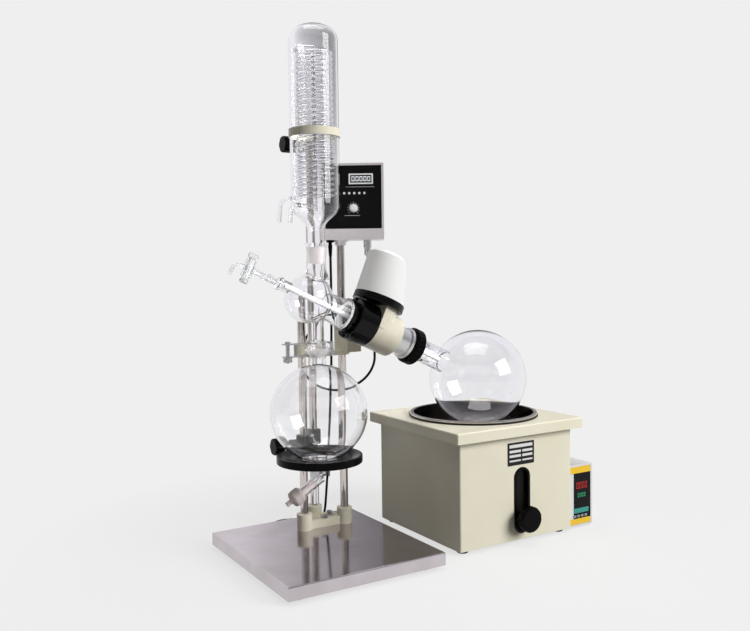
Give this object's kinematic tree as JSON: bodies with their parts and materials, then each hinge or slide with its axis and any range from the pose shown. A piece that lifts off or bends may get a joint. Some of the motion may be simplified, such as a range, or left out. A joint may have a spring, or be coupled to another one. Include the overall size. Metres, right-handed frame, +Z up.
{
  "type": "rotary evaporator",
  "caption": "Bench rotary evaporator: tilted rotating flask over a lifting water bath, vertical coil condenser, still head, receiving flask and control box on a column stand.",
  "frame": {"origin": "centre of the footprint's bounding box, on the bench", "axes": "+Z up; +X along the front of the base plate from the stand towards the water bath; +Y away from the front"},
  "size_m": [0.8422, 0.4692, 1.096],
  "materials": {
    "enamel": "satin cream enamel",
    "black_plastic": "black moulded plastic",
    "white_plastic": "off-white satin plastic",
    "black_paint": "black paint",
    "stainless": "polished stainless sheet",
    "rod_steel": "polished rod",
    "adapter_metal": "turned aluminium",
    "zinc_steel": "plated steel",
    "clear_glass": "clear borosilicate",
    "ptfe": "white fluoropolymer",
    "rubber": "black rubber",
    "cable": "black cable sheath",
    "controller_grey": "light grey case",
    "controller_black": "dark display panel",
    "key_plastic": "key"
  },
  "bodies": {
    "stand": {"base_feet": "rubber", "base_plate": "stainless", "bath_case": "enamel", "bath_feet": "rubber", "box_collar": "adapter_metal", "cable_glands": "black_plastic", "carriage_casting": "enamel", "clamp_jaw_lower": "zinc_steel", "clamp_jaw_upper": "zinc_steel", "clamp_screw": "zinc_steel", "column_front_left": "rod_steel", "column_front_right": "rod_steel", "column_rear": "rod_steel", "condenser_arm": "enamel", "condenser_band": "enamel", "condenser_coil": "clear_glass", "condenser_jacket": "clear_glass", "condenser_return": "clear_glass", "control_box": "zinc_steel", "control_panel": "black_plastic", "controller_case": "controller_grey", "controller_face": "controller_black", "controller_keys": "key_plastic", "display_window": "white_plastic", "drain_valve": "clear_glass", "end_cap": "black_plastic", "feed_pipe": "ptfe", "feed_stopcock": "clear_glass", "foot_casting": "enamel", "gearbox_housing": "enamel", "mains_coil": "cable", "mains_lead": "cable", "mains_plug": "black_plastic", "motor_band": "black_plastic", "motor_cap": "white_plastic", "motor_connector": "adapter_metal", "motor_lead": "cable", "outlet_clip": "zinc_steel", "receiver_clamp": "black_paint", "receiver_ring": "black_paint", "receiving_flask": "clear_glass", "seal_ring": "ptfe", "slot_trim": "black_plastic", "socket_screws": "zinc_steel", "still_head": "clear_glass"},
    "rotor": {"rotor_sleeve": "adapter_metal", "vapour_tube": "clear_glass", "flask_nut": "black_plastic", "evaporating_flask": "clear_glass"},
    "feed_plug": {"feed_plug": "ptfe"},
    "drain_plug": {"drain_plug": "ptfe"},
    "clamp_nut": {"clamp_nut": "zinc_steel"},
    "speed_knob": {"speed_knob": "white_plastic"},
    "condenser_knob": {"condenser_knob": "black_plastic"},
    "receiver_knob": {"receiver_knob": "black_plastic"},
    "bath_lift": {"bath_top": "enamel", "bath_pot": "stainless", "pot_gasket": "rubber", "heating_element": "stainless"},
    "lock_knob": {"lock_knob": "black_plastic"}
  },
  "joints": [
    {"name": "rotor_spin", "type": "hinge", "parent": "stand", "child": "rotor", "pos_m": [0.04337, -0.013, 0.41519], "axis": [0.91, 0, -0.4147], "continuous": true},
    {"name": "feed_plug_turn", "type": "hinge", "parent": "stand", "child": "feed_plug", "pos_m": [-0.37794, -0.013, 0.6072], "axis": [0.4147, 0, 0.91], "continuous": true},
    {"name": "drain_plug_turn", "type": "hinge", "parent": "stand", "child": "drain_plug", "pos_m": [-0.22962, -0.013, 0.175], "axis": [-0.866, 0, -0.5], "continuous": true},
    {"name": "clamp_nut_turn", "type": "hinge", "parent": "stand", "child": "clamp_nut", "pos_m": [-0.29762, -0.013, 0.4285], "axis": [0, 0, -1], "range_deg": [0, 720]},
    {"name": "speed_knob_turn", "type": "hinge", "parent": "stand", "child": "speed_knob", "pos_m": [-0.10187, 0.0555, 0.737], "axis": [0.515, 0.8572, 0], "range_deg": [0, 300]},
    {"name": "condenser_knob_turn", "type": "hinge", "parent": "stand", "child": "condenser_knob", "pos_m": [-0.16101, 0.1495, 0.88], "axis": [-1, 0, 0], "range_deg": [0, 540]},
    {"name": "receiver_knob_turn", "type": "hinge", "parent": "stand", "child": "receiver_knob", "pos_m": [-0.21102, 0.0995, 0.2265], "axis": [-1, 0, 0], "range_deg": [0, 540]},
    {"name": "bath_lift_slide", "type": "slide", "parent": "stand", "child": "bath_lift", "axis": [0, 0, 1], "range_m": [0, 0.06]},
    {"name": "lock_knob_turn", "type": "hinge", "parent": "bath_lift", "child": "lock_knob", "pos_m": [0.19748, -0.147, 0.058], "axis": [0, -1, 0], "range_deg": [0, 360]}
  ]
}
